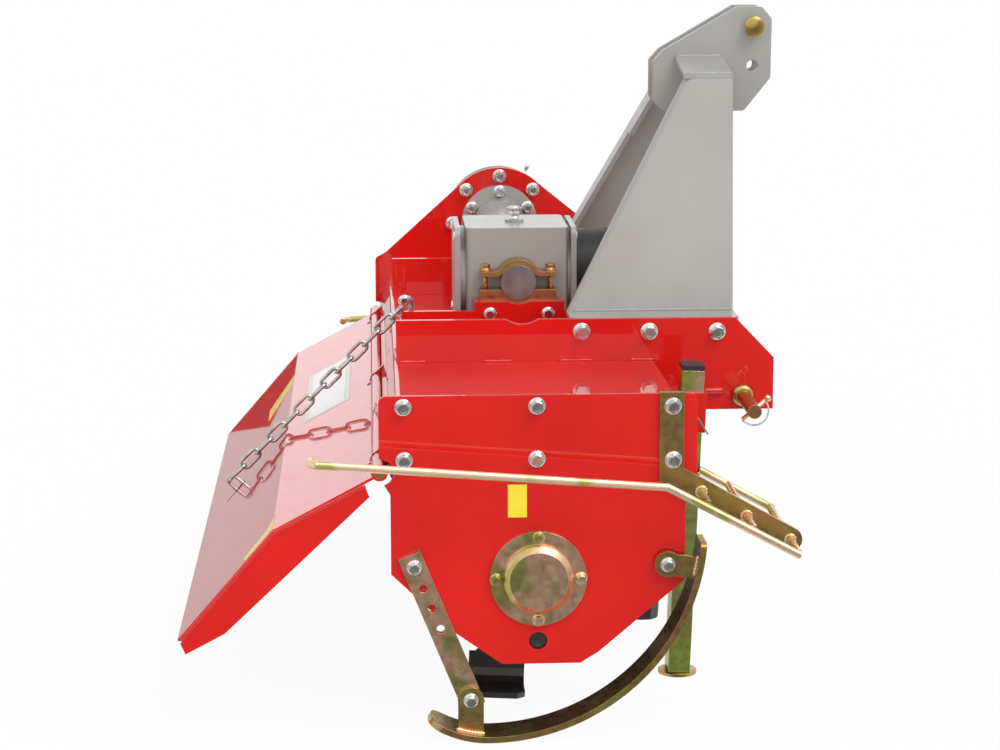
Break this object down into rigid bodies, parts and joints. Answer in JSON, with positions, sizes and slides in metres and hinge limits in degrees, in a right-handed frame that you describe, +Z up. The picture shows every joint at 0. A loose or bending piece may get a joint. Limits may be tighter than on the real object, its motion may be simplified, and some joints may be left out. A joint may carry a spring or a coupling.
{
  "type": "rotary tiller",
  "caption": "Tractor-mounted rotary tiller with a tined rotor under a bolted hood, side drive case, gearbox, hitch mast, hinged rear board, skids, side guards and parking stand.",
  "frame": {"origin": "centre of the input shaft's front end", "axes": "+X forward to the tractor along the input shaft, +Y to the machine's left along its width, +Z up"},
  "size_m": [0.955, 1.576, 1.011],
  "materials": {
    "red_paint": "glossy red powder coat",
    "grey_paint": "satin warm grey paint",
    "black_paint": "semi-gloss black paint",
    "yellow_zinc": "iridescent yellow zinc plating",
    "bright_zinc": "bright zinc plating",
    "bare_steel": "oiled bare steel",
    "black_plastic": "moulded black plastic"
  },
  "bodies": {
    "frame": {"bearing_cover": "yellow_zinc", "board_chain": "bright_zinc", "chain_staple": "bright_zinc", "clamp_saddle": "yellow_zinc", "clamp_strap": "yellow_zinc", "drive_case": "grey_paint", "drive_case_cover": "grey_paint", "drive_tube": "grey_paint", "end_plate_left": "red_paint", "end_plate_right": "red_paint", "gearbox": "grey_paint", "gearbox_bracket": "red_paint", "gearbox_front_cover": "grey_paint", "gearbox_rear_cover": "grey_paint", "guard_bar_left": "yellow_zinc", "guard_bar_right": "yellow_zinc", "guard_rod_left": "yellow_zinc", "guard_rod_right": "yellow_zinc", "hinge_lugs": "red_paint", "hinge_rod": "yellow_zinc", "hitch_beam_left": "red_paint", "hitch_beam_right": "red_paint", "hood": "red_paint", "input_guard": "black_plastic", "lower_pin_left": "yellow_zinc", "lower_pin_right": "yellow_zinc", "mast_cap": "grey_paint", "mast_ear_left": "grey_paint", "mast_ear_right": "grey_paint", "mast_foot_left": "grey_paint", "mast_foot_right": "grey_paint", "mast_leg_left": "grey_paint", "mast_leg_right": "grey_paint", "rotor_bearings": "bare_steel", "skid_left": "yellow_zinc", "skid_right": "yellow_zinc", "skid_spacers": "yellow_zinc", "skid_strut_left": "yellow_zinc", "skid_strut_right": "yellow_zinc", "stand_sleeve": "red_paint", "support_tube": "grey_paint", "top_link_pin": "yellow_zinc"},
    "rotor": {"rotor": "black_paint", "tines_left_hand": "black_paint", "tines_right_hand": "black_paint"},
    "input": {"input_shaft": "bare_steel"},
    "board": {"board_wing_left": "red_paint", "board_wing_right": "red_paint", "rear_board": "red_paint"},
    "stand": {"stand_cap": "black_plastic", "stand_foot": "yellow_zinc", "stand_leg": "yellow_zinc"}
  },
  "joints": [
    {"name": "rotor_spin", "type": "hinge", "parent": "frame", "child": "rotor", "pos_m": [-0.2, -0.07, -0.329], "axis": [0, 1, 0], "continuous": true},
    {"name": "input_spin", "type": "hinge", "parent": "frame", "child": "input", "pos_m": [0, 0, 0], "axis": [1, 0, 0], "continuous": true},
    {"name": "board_hinge", "type": "hinge", "parent": "frame", "child": "board", "pos_m": [-0.426, -0.07, -0.172], "axis": [0, 1, 0], "range_deg": [0, 35], "deforming": ["board_chain"]},
    {"name": "stand_slide", "type": "slide", "parent": "frame", "child": "stand", "axis": [0.0366, 0, 0.9993], "range_m": [0, 0.34]}
  ],
  "couplings": [
    {"joint": "input_spin", "follows": "rotor_spin", "ratio": 2.57}
  ]
}
